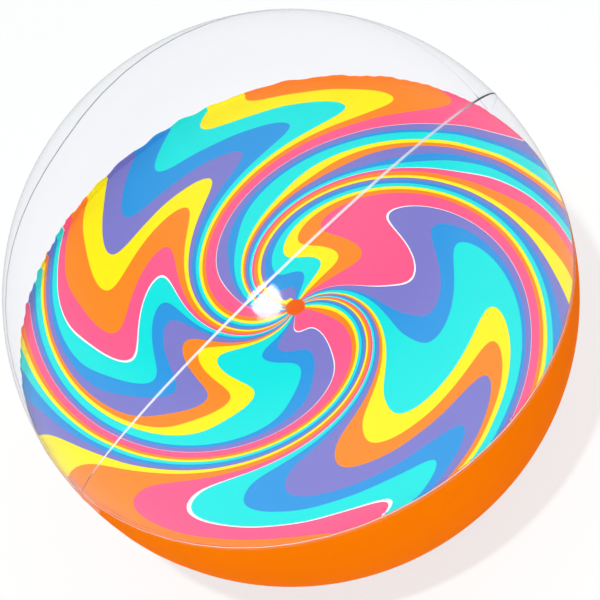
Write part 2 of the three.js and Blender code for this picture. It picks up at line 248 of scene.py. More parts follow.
def frostedWeldMaterial():
    # clear PVC that the welding bar has pressed: its fine grain scatters light,
    # so it looks white; where it is seen edge on a dark colour is painted in, painted shade along the seam
    look = weldLook
    material, tree = newMaterial("frosted_weld")
    through = addNode(tree, "ShaderNodeBsdfTransparent", {"Color": hexLinear(look["through"])}).outputs[0]
    frost = addNode(tree, "ShaderNodeBsdfPrincipled", {
        "Base Color": hexLinear(look["colour"]), "Roughness": look["roughness"], "IOR": look["ior"],
    }).outputs[0]
    both = addNode(tree, "ShaderNodeMixShader", {0: look["cover"], 1: through, 2: frost}).outputs[0]
    # painted shade: the dark colour rises as the weld turns edge on
    slant = addNode(tree, "ShaderNodeLayerWeight", {"Blend": 0.5}).outputs["Facing"]
    dark = addNode(tree, "ShaderNodeMapRange", {
        "Value": slant, "From Min": look["edgeShadeFrom"], "From Max": look["edgeShadeTo"],
        "To Min": 0.0, "To Max": look["edgeShadeShare"],
    }, interpolation_type="SMOOTHSTEP").outputs[0]
    rim = addNode(tree, "ShaderNodeBsdfDiffuse", {"Color": hexLinear(look["rim"])}).outputs[0]
    surface = addNode(tree, "ShaderNodeMixShader", {0: dark, 1: both, 2: rim}).outputs[0]
    behind = addNode(tree, "ShaderNodeNewGeometry").outputs["Backfacing"]  # only the outside is pressed
    surface = addNode(tree, "ShaderNodeMixShader", {0: behind, 1: surface, 2: through}).outputs[0]
    addNode(tree, "ShaderNodeOutputMaterial", {"Surface": surface})
    return material


orangeLook = dict(
    colour="#FFB104", glow="#FFB000", glowShare=0.66, insideGlow="#FFB890", insideShare=0.92,
    roughness=0.42, weldRoughness=0.55, shine=0.003, ior=1.53,
    grain=0.9 * mm, grainDetail=1.0, grainStrength=0.25, grainHeight=0.012 * mm,
)


def orangeFilmMaterial(name, roughness, glowColour, glowShare):
    # pigmented PVC film: soft satin shine, and some light comes through its colour
    look = orangeLook
    material, tree = newMaterial(name)
    place = addNode(tree, "ShaderNodeTexCoord").outputs["Object"]
    grain = addNode(tree, "ShaderNodeTexNoise", {
        "Vector": place, "Scale": 1 / look["grain"], "Detail": look["grainDetail"],
    }).outputs[0]
    bump = addNode(tree, "ShaderNodeBump", {
        "Height": grain, "Strength": look["grainStrength"], "Distance": look["grainHeight"],
    }).outputs[0]
    skin = addNode(tree, "ShaderNodeBsdfPrincipled", {
        "Base Color": hexLinear(look["colour"]), "Roughness": roughness, "IOR": look["ior"],
        "Specular IOR Level": look["shine"], "Normal": bump,
    }).outputs[0]
    glow = addNode(tree, "ShaderNodeBsdfTranslucent", {"Color": hexLinear(glowColour)}).outputs[0]
    both = addNode(tree, "ShaderNodeMixShader", {0: glowShare, 1: skin, 2: glow}).outputs[0]
    addNode(tree, "ShaderNodeOutputMaterial", {"Surface": both})
    return material


printLook = dict(
    sectors=3, twist=1.05, wave=0.24, waveTurns=1.35, waveArms=2, swell=0.55, swellTurns=0.9,
    roughness=0.4, ior=1.5, shine=0.06,
    turquoise="#0CE4DC", pink="#FF5C8A", orange="#FF8A20", yellow="#FFEE10",
    blue="#2A97DC", purple="#7E7CC6", keyline="#FFFFFF",
    bands=[  # colours round one sector, with their shares
        ("turquoise", 11), ("blue", 5), ("purple", 8), ("keyline", 0.32), ("pink", 13), ("orange", 6),
        ("yellow", 5), ("turquoise", 6), ("keyline", 0.32), ("blue", 6), ("purple", 5), ("yellow", 5),
        ("orange", 7), ("pink", 5), ("keyline", 0.32), ("turquoise", 5), ("blue", 4), ("purple", 6),
        ("orange", 4), ("yellow", 5),
    ],
)


def printedFilmMaterial():
    # gravure-printed white PVC film: flat opaque inks with a satin shine
    # the bands are arms of a wavy pinwheel: arm number = sectors x turn + twist x radius + wave
    look = printLook
    material, tree = newMaterial("printed_pvc_film")
    place = addNode(tree, "ShaderNodeTexCoord").outputs["Object"]
    flat = addNode(tree, "ShaderNodeVectorMath", {
        0: place, 1: (1 / ballRadius, 1 / ballRadius, 0),
    }, operation="MULTIPLY").outputs[0]
    radius = addNode(tree, "ShaderNodeVectorMath", {0: flat}, operation="LENGTH").outputs["Value"]
    split = addNode(tree, "ShaderNodeSeparateXYZ", {0: flat}).outputs
    turn = addNode(tree, "ShaderNodeMath", {0: split["Y"], 1: split["X"]}, operation="ARCTAN2").outputs[0]
    arms = addNode(tree, "ShaderNodeMath", {
        0: turn, 1: look["sectors"] / fullTurn,
    }, operation="MULTIPLY").outputs[0]
    spun = addNode(tree, "ShaderNodeMath", {
        0: radius, 1: look["twist"], 2: arms,
    }, operation="MULTIPLY_ADD").outputs[0]
    lean = addNode(tree, "ShaderNodeMath", {
        0: turn, 1: float(look["waveArms"]),
    }, operation="MULTIPLY").outputs[0]
    ripple = addNode(tree, "ShaderNodeMath", {
        0: radius, 1: fullTurn * look["waveTurns"], 2: lean,
    }, operation="MULTIPLY_ADD").outputs[0]
    wave = addNode(tree, "ShaderNodeMath", {0: ripple}, operation="SINE").outputs[0]
    waved = addNode(tree, "ShaderNodeMath", {
        0: wave, 1: look["wave"], 2: spun,
    }, operation="MULTIPLY_ADD").outputs[0]
    swellTurn = addNode(tree, "ShaderNodeMath", {
        0: radius, 1: look["swellTurns"], 2: waved,
    }, operation="MULTIPLY_ADD").outputs[0]
    swellAngle = addNode(tree, "ShaderNodeMath", {0: swellTurn, 1: fullTurn}, operation="MULTIPLY").outputs[0]
    swell = addNode(tree, "ShaderNodeMath", {0: swellAngle}, operation="SINE").outputs[0]
    swelled = addNode(tree, "ShaderNodeMath", {
        0: swell, 1: look["swell"] / fullTurn, 2: waved,
    }, operation="MULTIPLY_ADD").outputs[0]
    arm = addNode(tree, "ShaderNodeMath", {0: swelled}, operation="FRACT").outputs[0]
    ramp = addNode(tree, "ShaderNodeValToRGB", {0: arm})
    stops = ramp.color_ramp
    stops.interpolation = "CONSTANT"
    widths = np.array([width for _, width in look["bands"]], float)
    starts = np.concatenate([[0], np.cumsum(widths)[:-1]]) / widths.sum()
    for number, ((colour, _), start) in enumerate(zip(look["bands"], starts)):
        stop = stops.elements[number] if number < 2 else stops.elements.new(start)
        stop.position = start
        stop.color = hexLinear(look[colour])
    ink = addNode(tree, "ShaderNodeBsdfPrincipled", {
        "Base Color": ramp.outputs[0], "Roughness": look["roughness"], "IOR": look["ior"],
        "Specular IOR Level": look["shine"],
    }).outputs[0]
    addNode(tree, "ShaderNodeOutputMaterial", {"Surface": ink})
    return material


filmBackLook = dict(colour="#F2F2EE", roughness=0.45, ior=1.5)


def filmBackMaterial():
    # the unprinted back of white PVC film
    look = filmBackLook
    material, tree = newMaterial("white_film_back")
    white = addNode(tree, "ShaderNodeBsdfPrincipled", {
        "Base Color": hexLinear(look["colour"]), "Roughness": look["roughness"], "IOR": look["ior"],
    }).outputs[0]
    addNode(tree, "ShaderNodeOutputMaterial", {"Surface": white})
    return material


vinylLook = dict(
    colour="#F4F1EA", roughness=0.38, ior=1.53, milkiness=0.3, milkColour=(1.0, 0.9, 0.75), depth=2.0 * mm,
)


def mouldedVinylMaterial():
    # soft injection-moulded PVC: milky, with light going a little way in
    look = vinylLook
    material, tree = newMaterial("milky_moulded_vinyl")
    vinyl = addNode(tree, "ShaderNodeBsdfPrincipled", {
        "Base Color": hexLinear(look["colour"]), "Roughness": look["roughness"], "IOR": look["ior"],
        "Subsurface Weight": look["milkiness"], "Subsurface Radius": look["milkColour"],
        "Subsurface Scale": look["depth"],
    }).outputs[0]
    addNode(tree, "ShaderNodeOutputMaterial", {"Surface": vinyl})
    return material


clearFilm = clearFilmMaterial("clear_pvc_film", True, True)
clearFilmInside = clearFilmMaterial("clear_pvc_film_inside", False, True)
clearCap = clearFilmMaterial("clear_pvc_cap", True, False)
clearCapInside = clearFilmMaterial("clear_pvc_cap_inside", False, False)
frostedWeld = frostedWeldMaterial()
orangeFilm = orangeFilmMaterial(
    "orange_pvc_film", orangeLook["roughness"], orangeLook["glow"], orangeLook["glowShare"])
orangeFilmInside = orangeFilmMaterial(
    "orange_pvc_film_inside", orangeLook["roughness"], orangeLook["insideGlow"], orangeLook["insideShare"])
orangeWeld = orangeFilmMaterial(
    "orange_weld", orangeLook["weldRoughness"], orangeLook["glow"], orangeLook["glowShare"])
printedFilm = printedFilmMaterial()
filmBack = filmBackMaterial()
mouldedVinyl = mouldedVinylMaterial()
print("materials: made")


# Gores: six film leaves from pole to pole, lapped and welded along the seams

gores = dict(
    tipRadius=3 * mm, taperRadius=150 * mm, rows=261, columns=46, band=5 * mm,
    lapLift=0.34 * mm, lapStep=(-1.5 * mm, -0.3 * mm),
    weld=(0.2 * mm, 2.2 * mm), rimWeld=(-0.9 * mm, 0), weldEdge=0.2 * mm, weldDepth=0.09 * mm,
    overEdge=np.array([
        -4.2, -3.4, -2.6, -2, -1.5, -1.2, -0.9, -0.6, -0.3, 0, 0.2, 0.7, 1.2, 1.7, 2.2, 2.4, 3, 3.7, 4,
    ]) * mm,
    underEdge=np.array([-4.2, -3.4, -2.6, -1.8, -1, -0.5, 0]) * mm,
    leaves=[  # name, CAD node, and which weld its near and far edges carry on top, from the first seam on
        ("clear_film_front", "clear_gore_front", "rimWeld", "weld"),
        ("clear_film_top", "clear_gore_top", None, "weld"),
        ("clear_film_back", "clear_gore_back", None, "rimWeld"),
        ("orange_film_back", "orange_gore_back", None, "weld"),
        ("orange_film_bottom", "orange_gore_bottom", None, "weld"),
        ("orange_film_front", "orange_gore_front", None, None),
    ],
)


def edgeColumns(kind):
    # shift past the seam, height and weld of each column along an edge:
    # an upper edge steps up softly, and its weld is pressed
    if kind is None:
        shift = gores["underEdge"]
        return shift, 0 * shift, np.zeros(len(shift), bool)
    shift, weld, soft = gores["overEdge"], gores[kind], gores["weldEdge"]
    press = smoothStep(shift, weld[0] - soft, weld[0]) - smoothStep(shift, weld[1], weld[1] + soft)
    height = gores["lapLift"] * smoothStep(shift, *gores["lapStep"]) - gores["weldDepth"] * press
    return shift, height, (shift > weld[0] - tiny) & (shift < weld[1] + tiny)


outsideFinish, weldFinish, insideFinish = 0, 1, 2  # order of a leaf's materials


def goreGrid(number, nearKind, farKind):
    # rows are latitudes; columns run from seam to seam, with close ones along both edges
    tip = np.arccos(gores["tipRadius"] / ballRadius)
    latitude = np.linspace(-tip, tip, gores["rows"])[:, None]
    ring = ballRadius * np.cos(latitude)
    start, end = seamAngle(number, latitude), seamAngle(number + 1, latitude)
    middle, half = (start + end) / 2, (end - start) / 2
    near, nearHeight, nearWeld = (column[::-1] for column in edgeColumns(nearKind))
    far, farHeight, farWeld = edgeColumns(farKind)
    body = np.linspace(-1, 1, gores["columns"])
    narrow = np.tanh(ring / gores["taperRadius"]) / ring  # laps narrow towards the poles
    angle = middle + np.concatenate([
        -(half + near * narrow), body * (half - gores["band"] * narrow), half + far * narrow,
    ], axis=1)
    height = np.concatenate([nearHeight, 0 * body, farHeight])[None, :]
    outer = filmPoint(latitude, angle, height)
    inner = filmPoint(latitude, angle, height - film["thickness"])
    weld = np.concatenate([nearWeld, np.zeros(len(body), bool), farWeld])
    return latitude, angle, outer, inner, weld[1:] & weld[:-1]


def sheetFaces(rows, columns, skip):
    # quads of the outer and inner faces of a sheet and of the strips round its edges
    top = np.arange(rows * columns).reshape(rows, columns)
    low = top + rows * columns
    cells = lambda g: np.stack([g[:-1, :-1], g[1:, :-1], g[1:, 1:], g[:-1, 1:]], axis=-1)
    outer, inner = cells(top)[~skip], cells(low)[~skip][:, ::-1]
    strip = lambda a, b, c, d: np.stack([a, b, c, d], axis=-1)
    edges = [
        strip(top[:-1, 0], low[:-1, 0], low[1:, 0], top[1:, 0]),
        strip(top[:-1, -1], top[1:, -1], low[1:, -1], low[:-1, -1]),
        strip(top[0, :-1], top[0, 1:], low[0, 1:], low[0, :-1]),
        strip(top[-1, :-1], low[-1, :-1], low[-1, 1:], top[-1, 1:]),
    ]
    return np.concatenate([outer, inner, *edges])


valveHole = dict(
    block=20.5 * mm, weld=(10.2 * mm, 13.2 * mm), weldDepth=0.1 * mm, soft=0.4 * mm,
    rings=np.array([15.4, 14.4, 13.6, 13.2, 12.6, 11.8, 11, 10.4, 10, 9.7, 9.35, 9.1, 9]) * mm,
)


def valveHolePatch(latitude, angle, outer, inner):
    # the film round the valve: the grid's square opening runs in, ring by ring, to the round hole
    hole = valveHole
    rowIn = np.flatnonzero(np.abs(latitude[:, 0]) * ballRadius < hole["block"])
    turn = (angle[len(angle) // 2] - film["valveAngle"]) * ballRadius
    columnIn = np.flatnonzero(np.abs(turn) < hole["block"])
    r0, r1, c0, c1 = rowIn[0], rowIn[-1], columnIn[0], columnIn[-1]
    grid = np.arange(outer.shape[0] * outer.shape[1]).reshape(outer.shape[:2])
    border = np.concatenate([
        grid[r0:r1, c0], grid[r1, c0:c1], grid[r1:r0:-1, c1], grid[r0, c1:c0:-1],
    ])
    skip = np.zeros((outer.shape[0] - 1, outer.shape[1] - 1), bool)
    skip[r0:r1, c0:c1] = True
    corner = outer.reshape(-1, 3)[border] - valvePlace
    bearing = np.arctan2(corner @ valveSideY, corner @ valveSideX)[None, :]
    radius = hole["rings"][:, None]
    spot = (valvePlace + (radius * np.cos(bearing))[..., None] * valveSideX
            + (radius * np.sin(bearing))[..., None] * valveSideY)
    direction = spot - ballCentre
    direction = direction / np.linalg.norm(direction, axis=-1, keepdims=True)
    press = (smoothStep(radius, hole["weld"][0] - hole["soft"], hole["weld"][0])
             - smoothStep(radius, hole["weld"][1], hole["weld"][1] + hole["soft"]))
    reach = filmReach(direction) - hole["weldDepth"] * press
    ringsOuter = ballCentre + direction * reach[..., None]
    ringsInner = ballCentre + direction * (reach - film["thickness"])[..., None]
    count, base = len(border), 2 * grid.size
    made = np.arange(len(hole["rings"]) * count).reshape(-1, count)
    top = np.concatenate([border[None, :], base + made])
    low = np.concatenate([border[None, :] + grid.size, base + made.size + made])
    nextTop, nextLow = np.roll(top, -1, axis=1), np.roll(low, -1, axis=1)
    faces = np.concatenate([
        np.stack([top[:-1], nextTop[:-1], nextTop[1:], top[1:]], axis=-1).reshape(-1, 4),
        np.stack([low[:-1], low[1:], nextLow[1:], nextLow[:-1]], axis=-1).reshape(-1, 4),
        np.stack([top[-1], nextTop[-1], nextLow[-1], low[-1]], axis=-1),
    ])
    facing = np.repeat([outsideFinish, insideFinish, outsideFinish], [made.size, made.size, count])
    return skip, np.concatenate([ringsOuter.reshape(-1, 3), ringsInner.reshape(-1, 3)]), faces, facing


for number, (name, node, nearKind, farKind) in enumerate(gores["leaves"]):
    latitude, angle, outer, inner, welded = goreGrid(number, nearKind, farKind)
    rows, columns = outer.shape[:2]
    points = np.concatenate([outer.reshape(-1, 3), inner.reshape(-1, 3)])
    skip = np.zeros((rows - 1, columns - 1), bool)
    patchFaces, patchFacing = np.zeros((0, 4), int), np.zeros(0, int)
    if node == "orange_gore_back":
        skip, patchPoints, patchFaces, patchFacing = valveHolePatch(latitude, angle, outer, inner)
        points = np.concatenate([points, patchPoints])
    quads = sheetFaces(rows, columns, skip)
    cellWeld = np.broadcast_to(welded, skip.shape)[~skip]
    faceMaterial = np.concatenate([
        np.where(cellWeld, weldFinish, outsideFinish), np.full(len(cellWeld), insideFinish),
        np.full(len(quads) - 2 * len(cellWeld), outsideFinish), patchFacing,
    ])
    clear = name.startswith("clear")
    finishes = [orangeFilm, orangeWeld, orangeFilmInside]
    if clear:
        finishes = [clearFilm, frostedWeld, clearFilmInside]
    leaf = putMesh(name, points, np.concatenate([quads, patchFaces]), finishes, faceMaterial)
    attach(leaf, "ball")
    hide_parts(node)
print("gores: made")


# Printed disc: a film sheet across the ball with an air hole, turned up along its rim

disc = dict(
    holeRadius=7 * mm, sag=11 * mm, turns=840, spokes=44,
    bendRadius=0.5 * mm, bendSteps=9, tabHeight=3.8 * mm, tabSteps=5, tabLean=0.42, tabTurn=0.5,
    tabRagged=1.9 * mm, raggedWaves=[(1, 41, 2, 5), (0.7, 67, 3, 3)], raggedTotal=2.6,
    teeth=(149, 4, 7), teethShare=0.8, teethPatches=3, teethPhase=1, teethFade=(-0.4, 0.8),
    rippleHeight=0.55 * mm, rippleFrom=120 * mm, rippleWaves=[(1, 17, 1.5, 4, 0), (0.6, 29, 0, 0, 1.1)],
    rippleTotal=1.6,
)


def rimWave(turn, count, sway, swayCount, phase=0):  # waves round the rim that crowd and spread as they go
    return np.sin(count * turn + sway * np.sin(swayCount * turn) + phase)


def discGrid():
    # the sheet's middle line runs out from the hole, round a bend and up the tab;
    # both faces lie half a film from it
    rim, bend = discRim - film["thickness"] / 2, disc["bendRadius"]
    flatEnd = rim - bend
    out = disc["holeRadius"] + (flatEnd - disc["holeRadius"]) * np.linspace(0, 1, disc["spokes"])
    arc = np.linspace(0, np.pi / 2, disc["bendSteps"])[1:]
    up = np.linspace(0, 1, disc["tabSteps"])[1:]
    lineRadius = np.concatenate([out, flatEnd + bend * np.sin(arc), np.full(len(up), rim)])
    lineHeight = np.concatenate([np.zeros(len(out)), bend * (1 - np.cos(arc)), np.full(len(up), bend)])
    tabShare = np.concatenate([np.zeros(len(out) + len(arc)), up])
    lean = np.concatenate([np.zeros(len(out)), arc, np.full(len(up), np.pi / 2)])
    half = film["thickness"] / 2
    outward, upward = half * np.sin(lean), half * np.cos(lean)
    radius = np.concatenate([lineRadius + outward, (lineRadius - outward)[::-1]])[:, None]
    height = np.concatenate([lineHeight - upward, (lineHeight + upward)[::-1]])[:, None]
    tabPart = np.concatenate([tabShare, tabShare[::-1]])[:, None]
    turn = np.linspace(0, fullTurn, disc["turns"], endpoint=False)[None, :]
    toothed = smoothStep(np.sin(disc["teethPatches"] * turn + disc["teethPhase"]), *disc["teethFade"])
    teeth = np.arcsin(rimWave(turn, *disc["teeth"])) * toothed
    ragged = sum(share * rimWave(turn, *wave) for share, *wave in disc["raggedWaves"])
    ragged = (ragged + disc["teethShare"] * teeth) / disc["raggedTotal"]
    uneven = 1 - disc["tabLean"] + disc["tabLean"] * np.sin(turn - disc["tabTurn"])  # higher on the far side
    tab = (disc["tabHeight"] - bend + disc["tabRagged"] * ragged) * uneven
    ripple = sum(share * rimWave(turn, *wave) for share, *wave in disc["rippleWaves"]) / disc["rippleTotal"]
    rise = disc["rippleHeight"] * smoothStep(radius, disc["rippleFrom"], rim) * ripple
    sag = disc["sag"] * np.clip(1 - (radius / flatEnd) ** 2, 0, 1)
    z = height + tabPart * tab + rise - sag
    return np.stack([radius * np.cos(turn), radius * np.sin(turn), z], axis=-1) + ballCentre


def ringFaces(rows, columns, closed):  # quads of a turned shape; closed joins the profile's ends
    grid = np.arange(rows * columns).reshape(rows, columns)
    ahead = np.roll(grid, -1, axis=0) if closed else grid[1:]
    here = grid if closed else grid[:-1]
    quads = [here, np.roll(here, -1, axis=1), np.roll(ahead, -1, axis=1), ahead]
    return np.stack(quads, axis=-1).reshape(-1, 4)


points = discGrid()
rows, columns = points.shape[:2]
sheetBack = (np.arange(rows * columns) // columns < disc["spokes"]).astype(int)
sheet = putMesh(
    "printed_film_disc", points.reshape(-1, 3), ringFaces(rows, columns, True),
    [printedFilm, filmBack], sheetBack, sharpAngle=60)
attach(sheet, "ball")
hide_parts("printed_disc")
print("disc: made")


# Pole patches: round clear caps over the gores' tips

patch = dict(
    radius=18 * mm, thickness=0.35 * mm, under=0.5 * mm, thin=0.32 * mm, thinWidth=3 * mm,
    weld=(12 * mm, 14.5 * mm), weldDepth=0.06 * mm, soft=0.3 * mm, turns=96,
    innerRings=(0, 11, 12), outerRings=(11.5, 18, 40),  # first and last in mm, and how many
)


def patchGrid(side):
    # a cap of the ball: height over the film against distance from the pole,
    # pressed along a weld ring and thin at its edge
    reach = np.concatenate([np.linspace(*patch["innerRings"]), np.linspace(*patch["outerRings"])]) * mm
    press = (smoothStep(reach, patch["weld"][0] - patch["soft"], patch["weld"][0])
             - smoothStep(reach, patch["weld"][1], patch["weld"][1] + patch["soft"]))
    over = ballRadius + patch["under"] + patch["thickness"] - patch["weldDepth"] * press
    over = over - patch["thin"] * smoothStep(reach, patch["radius"] - patch["thinWidth"], patch["radius"])
    under = np.full(len(reach), ballRadius + patch["under"])
    angle = np.concatenate([reach, reach[::-1]])[:, None] / ballRadius
    length = np.concatenate([under, over[::-1]])[:, None]
    turn = np.linspace(0, fullTurn, patch["turns"], endpoint=False)[None, :] * side
    radius = length * np.sin(angle)
    x = side * length * np.cos(angle) + 0 * turn
    return np.stack([x, radius * np.cos(turn), radius * np.sin(turn)], axis=-1) + ballCentre, reach


for name, node, side in [("pole_cap_left", "pole_patch_left", -1), ("pole_cap_right", "pole_patch_right", 1)]:
    points, reach = patchGrid(side)
    under = np.repeat(np.arange(len(points) - 1) < len(reach), patch["turns"])
    cap = putMesh(
        name, points.reshape(-1, 3), ringFaces(*points.shape[:2], False),
        [clearCap, clearCapInside], under, merge=True)
    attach(cap, "ball")
    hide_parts(node)
print("pole caps: made")


# Valve, in its own frame: radius and height out along its axis from the film's outer face

def valvePoint(x, y, height):
    return valvePlace + x[..., None] * valveSideX + y[..., None] * valveSideY + height[..., None] * valveAxis


def softProfile(corners, soften, steps=5, mostShare=0.48):
    # a closed profile whose corners are rounded: each corner becomes a curve between points on its two sides,
    # which take up no more than a share of each side
    corners = np.array(corners) * mm
    soften = np.broadcast_to(soften, len(corners))[:, None] * mm
    before, after = np.roll(corners, 1, axis=0) - corners, np.roll(corners, -1, axis=0) - corners
    beforeLength = np.linalg.norm(before, axis=1, keepdims=True)
    afterLength = np.linalg.norm(after, axis=1, keepdims=True)
    start = corners + before / beforeLength * np.minimum(soften, mostShare * beforeLength)
    end = corners + after / afterLength * np.minimum(soften, mostShare * afterLength)
    t = np.linspace(0, 1, steps)[None, :, None]
    curve = (1 - t) ** 2 * start[:, None] + 2 * t * (1 - t) * corners[:, None] + t ** 2 * end[:, None]
    return curve.reshape(-1, 2)


def turnedPiece(name, profile, turns=64, closed=True):
    turn = np.linspace(0, fullTurn, turns, endpoint=False)[None, :]
    radius, height = profile[:, :1], profile[:, 1:]
    points = valvePoint(radius * np.cos(turn), radius * np.sin(turn), height + 0 * turn)
    faces = ringFaces(*points.shape[:2], closed)
    return putMesh(name, points.reshape(-1, 3), faces, [mouldedVinyl], merge=not closed)


flange = dict(corners=[(14, -1.4), (14, -0.6), (9, -0.6), (9, -1.4)], soften=0.25)
piece = turnedPiece("valve_ring", softProfile(flange["corners"], flange["soften"]))
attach(piece, "ball")
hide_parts("valve_flange")

skirt = dict(radius=8.7, wall=0.6, endRadius=4.95, top=-0.6, foot=-14.1, turnSteps=14, wallSteps=18)


def skirtProfile():
    # a cup: straight wall down from the flange, then a quarter bend in to the stem's foot
    bend = skirt["radius"] - skirt["endRadius"]
    a = np.linspace(0, np.pi / 2, skirt["turnSteps"])
    side = lambda r: np.stack([
        skirt["endRadius"] + r * np.sin(a), skirt["foot"] + bend - r * np.cos(a),
    ], axis=-1)
    rise = np.linspace(skirt["foot"] + bend, skirt["top"], skirt["wallSteps"])[1:]
    wall = lambda r: np.stack([np.full(len(rise), skirt["endRadius"] + r), rise], axis=-1)
    outside, inside = bend, bend - skirt["wall"]
    return np.concatenate([side(outside), wall(outside), wall(inside)[::-1], side(inside)[::-1]]) * mm


piece = turnedPiece("valve_cup", skirtProfile(), turns=72)
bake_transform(piece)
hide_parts("valve_skirt")

stem = dict(
    corners=[
        (5, -14.1), (5, -13.3), (4.5, -12.6), (4.5, -3.7), (5.4, -3.7), (5.4, -2.1), (3, -2.1), (3, -14.1),
    ],
    soften=[0.2, 0.3, 0.3, 0.3, 0.25, 0.35, 0.35, 0.2],
)
piece = turnedPiece("valve_tube", softProfile(stem["corners"], stem["soften"]))
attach(piece, "valve")
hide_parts("valve_stem")

plug = dict(
    capRadius=5.6, capTop=-0.4, capFoot=-1.8, noseRadius=2.7, noseTip=1.9, noseFoot=-5.8, noseRound=0.6,
    dish=0.25, dishEdge=2.2, steps=8,
)


def plugProfile():
    # from the axis: nose tip, nose side, under the cap, round its edge, and over its slightly dished top
    p = plug
    a = np.linspace(0, np.pi / 2, p["steps"])
    tip = np.stack([p["noseTip"] * np.sin(a), p["noseFoot"] + p["noseRound"] * (1 - np.cos(a))], axis=-1)
    b = np.linspace(0, 1, p["steps"])
    side = np.stack([
        p["noseTip"] + (p["noseRadius"] - p["noseTip"]) * np.sin(b * np.pi / 2),
        p["noseFoot"] + p["noseRound"] + b * (p["capFoot"] - p["noseFoot"] - p["noseRound"]),
    ], axis=-1)[1:]
    c = np.linspace(-np.pi / 2, np.pi / 2, 2 * p["steps"])
    half = (p["capTop"] - p["capFoot"]) / 2
    flatEnd = p["capRadius"] - half
    edge = np.stack([flatEnd + half * np.cos(c), p["capFoot"] + half + half * np.sin(c)], axis=-1)
    r = np.linspace(flatEnd, 0, p["steps"])[1:]
    top = np.stack([r, p["capTop"] - p["dish"] * smoothStep(-r, -flatEnd, -p["dishEdge"])], axis=-1)
    return np.concatenate([tip, side, edge, top]) * mm


piece = turnedPiece("valve_stopper", plugProfile(), closed=False)
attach(piece, "plug")
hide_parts("valve_plug")

strap = dict(
    width=3, thickness=0.5, capEnd=5.3, stemEnd=5.1, bendAt=6, capHeight=-1.1, stemHeight=-2.9,
    squareness=0.35, bendSteps=20, straightSteps=4, sides=24,
)


def strapGrid():
    # a flat band with round edges, carried out from the cap, round a half turn and back to the stem's collar
    s = strap
    bend, middle = (s["capHeight"] - s["stemHeight"]) / 2, (s["capHeight"] + s["stemHeight"]) / 2
    a = np.linspace(np.pi / 2, -np.pi / 2, s["bendSteps"])
    out = np.linspace(s["capEnd"], s["bendAt"], s["straightSteps"], endpoint=False)
    home = np.linspace(s["bendAt"], s["stemEnd"], s["straightSteps"] + 1)[1:]
    lineX = np.concatenate([out, s["bendAt"] + bend * np.cos(a), home])
    lineH = np.concatenate([
        np.full(len(out), s["capHeight"]), middle + bend * np.sin(a), np.full(len(home), s["stemHeight"]),
    ])
    lean = np.concatenate([np.full(len(out), np.pi / 2), a, np.full(len(home), -np.pi / 2)])
    t = np.linspace(0, fullTurn, s["sides"], endpoint=False)
    across = s["width"] / 2 * np.sign(np.cos(t)) * np.abs(np.cos(t)) ** s["squareness"]
    thick = s["thickness"] / 2 * np.sign(np.sin(t)) * np.abs(np.sin(t)) ** s["squareness"]
    x = lineX[:, None] + thick[None, :] * np.cos(lean)[:, None]
    h = lineH[:, None] + thick[None, :] * np.sin(lean)[:, None]
    y = np.broadcast_to(across[None, :], x.shape)
    return valvePoint(x * mm, y * mm, h * mm)


def tubeFaces(rows, columns):  # quads along a band, with its two ends closed by quads across
    sides = ringFaces(rows, columns, False)
    k = np.arange(columns // 2 - 1)
    end = np.stack([k, k + 1, columns - 2 - k, columns - 1 - k], axis=-1)
    return np.concatenate([sides, end[:, ::-1], end + (rows - 1) * columns])


points = strapGrid()
piece = putMesh(
    "stopper_strap", points.reshape(-1, 3), tubeFaces(*points.shape[:2]), [mouldedVinyl], sharpAngle=60)
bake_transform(piece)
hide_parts("plug_strap")

flap = dict(
    radius=3.7, top=-14.4, thickness=0.5, tabEnd=5, tabWidth=3, turns=96, rings=8, soft=0.12, least=1e-3,
)


def flapGrid():
    # a round leaf with a tab: its outline is the farther of the circle and the tab's rectangle
    f = flap
    turn = np.linspace(0, fullTurn, f["turns"], endpoint=False)
    lean = np.maximum(np.cos(turn), f["least"])
    tabSide = f["tabWidth"] / 2 / np.maximum(np.abs(np.sin(turn)), f["least"])
    tabReach = np.maximum(f["radius"], np.minimum(f["tabEnd"] / lean, tabSide))
    reach = np.where(np.cos(turn) > 0, tabReach, f["radius"])
    share = np.linspace(0, 1, f["rings"])
    inset = np.concatenate([share, [1], share[::-1]])[:, None]
    low, high = f["top"] - f["thickness"], f["top"]
    edge = np.concatenate([np.full(f["rings"], low), [(low + high) / 2], np.full(f["rings"], high)])[:, None]
    trim = np.concatenate([np.full(f["rings"], f["soft"]), [0], np.full(f["rings"], f["soft"])])[:, None]
    radius = inset * (reach[None, :] - trim)
    return valvePoint(radius * np.cos(turn) * mm, radius * np.sin(turn) * mm, (edge + 0 * radius) * mm)


points = flapGrid()
faces = ringFaces(*points.shape[:2], False)
piece = putMesh("check_leaf", points.reshape(-1, 3), faces, [mouldedVinyl], merge=True)
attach(piece, "flap")
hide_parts("check_flap")
print("valve: made")


# Camera at the photograph's place, in a 600 x 600 picture

camera = dict(
    azimuth=-22.26, elevation=50.26, roll=25.62, distance=9, ballPixels=289, ballAt=(291, 298),
    picture=600, sensor=36, clip=(0.01, 50),
)


def cameraAxes():  # its right, up and back
    azimuth, elevation, roll = np.radians([camera["azimuth"], camera["elevation"], camera["roll"]])
    back = np.array([
        np.sin(azimuth) * np.cos(elevation), -np.cos(azimuth) * np.cos(elevation), np.sin(elevation),
    ])
    level = np.array([0, 0, 1]) - back[2] * back
    level = level / np.linalg.norm(level)
    up = np.cos(roll) * level + np.sin(roll) * np.cross(level, back)
    return np.cross(up, back), up, back


def placeMatrix(axes, place):  # a matrix with three axes as its columns, at a place
    turned = np.column_stack([*axes, place])
    return Matrix([*turned.tolist(), [0, 0, 0, 1]])


